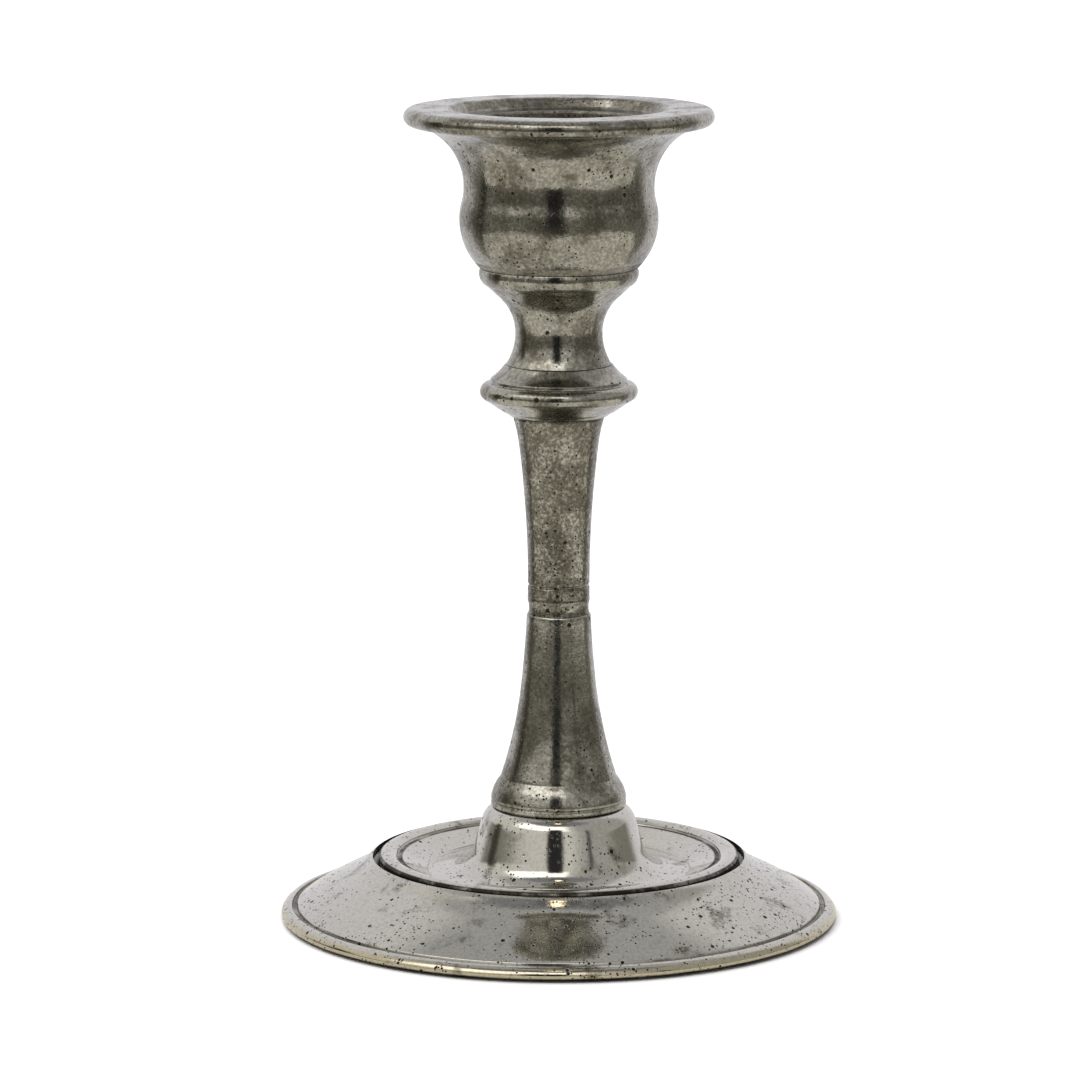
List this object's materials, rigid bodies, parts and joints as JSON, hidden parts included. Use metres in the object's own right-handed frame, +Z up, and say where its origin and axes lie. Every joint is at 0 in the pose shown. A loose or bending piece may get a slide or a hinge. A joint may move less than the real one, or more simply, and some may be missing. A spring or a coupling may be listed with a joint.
{
  "type": "candlestick",
  "caption": "Round silvered candlestick: socket with a flared rim for a taper candle, turned stem with a knop, drip saucer and wide foot with felt.",
  "frame": {"origin": "centre of the felt's lower face, on the surface the candlestick stands on", "axes": "+Z up along the candlestick's axis, towards the rim; X and Y are any two level directions"},
  "size_m": [0.078, 0.078, 0.114],
  "materials": {
    "silvered_metal": "polished",
    "zinc_steel": "satin",
    "backing_card": "matte",
    "green_felt": "matte"
  },
  "bodies": {
    "root": {"candle_cup": "silvered_metal", "neck_spool": "silvered_metal", "knop_disc": "silvered_metal", "upper_stem": "silvered_metal", "lower_stem": "silvered_metal", "drip_saucer": "silvered_metal", "base_flange": "silvered_metal", "tie_rod": "zinc_steel", "clamp_plate": "zinc_steel", "flat_washer": "zinc_steel", "lock_washer": "zinc_steel", "clamp_nut": "zinc_steel", "backing_disc": "backing_card", "felt_pad": "green_felt"}
  },
  "joints": []
}
